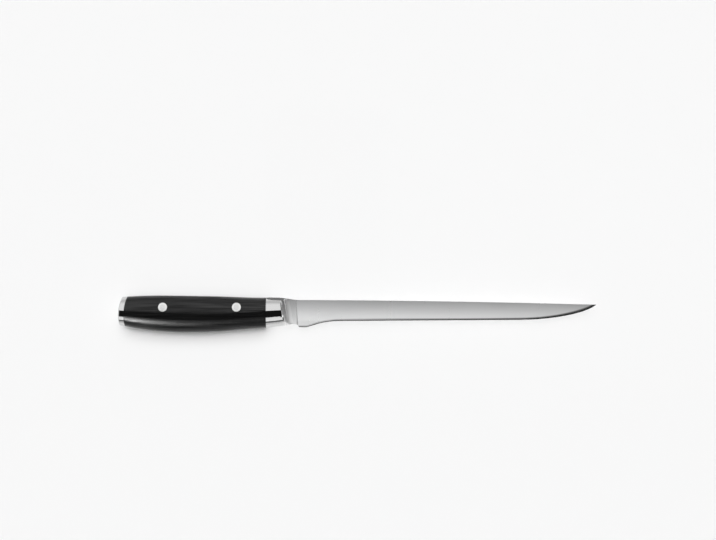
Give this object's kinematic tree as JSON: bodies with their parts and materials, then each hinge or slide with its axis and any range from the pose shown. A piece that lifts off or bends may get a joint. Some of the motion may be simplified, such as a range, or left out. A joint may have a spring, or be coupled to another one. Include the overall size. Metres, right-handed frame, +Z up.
{
  "type": "fillet knife",
  "caption": "Long narrow flexible blade with a full tang between two riveted black scales, with polished bolster cheeks and an end cap.",
  "frame": {"origin": "bottom centre of the knife's box as it lies on its left side, on the surface that it lies on", "axes": "+X from the butt to the tip, +Y from the cutting edge to the spine, +Z up out of the right side"},
  "size_m": [0.3664, 0.0284, 0.018],
  "materials": {
    "blade_steel": "satin ground across the blade",
    "polished_steel": "polished",
    "handle_scale": "smooth resin-bonded fabric, lightly waxed",
    "rivet_steel": "ground flush and buffed"
  },
  "bodies": {
    "root": {"blade": "blade_steel", "bolster_right": "polished_steel", "bolster_left": "polished_steel", "end_cap": "polished_steel", "scale_right": "handle_scale", "scale_left": "handle_scale", "rivet_front_female": "rivet_steel", "rivet_front_male": "rivet_steel", "rivet_rear_female": "rivet_steel", "rivet_rear_male": "rivet_steel"}
  },
  "joints": []
}
